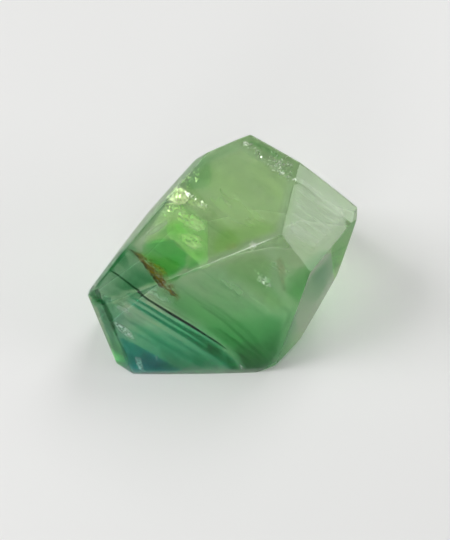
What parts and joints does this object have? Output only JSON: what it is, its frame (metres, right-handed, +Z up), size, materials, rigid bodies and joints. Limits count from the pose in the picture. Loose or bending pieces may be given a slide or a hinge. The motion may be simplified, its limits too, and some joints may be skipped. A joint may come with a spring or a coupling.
{
  "type": "fluorite freeform",
  "caption": "Polished free-standing piece of banded green fluorite with large flat facets and a flat ground base, for display.",
  "frame": {"origin": "on the resting plane, under the middle of the stone's bounding box", "axes": "+Z up from the ground base; -Y is the side with the two widest facets; +X is the blunt, tall end and -X the low pointed end"},
  "size_m": [0.0544, 0.0398, 0.0388],
  "materials": {
    "fluorite": "polished"
  },
  "bodies": {
    "root": {"fluorite_freeform": "fluorite"}
  },
  "joints": []
}
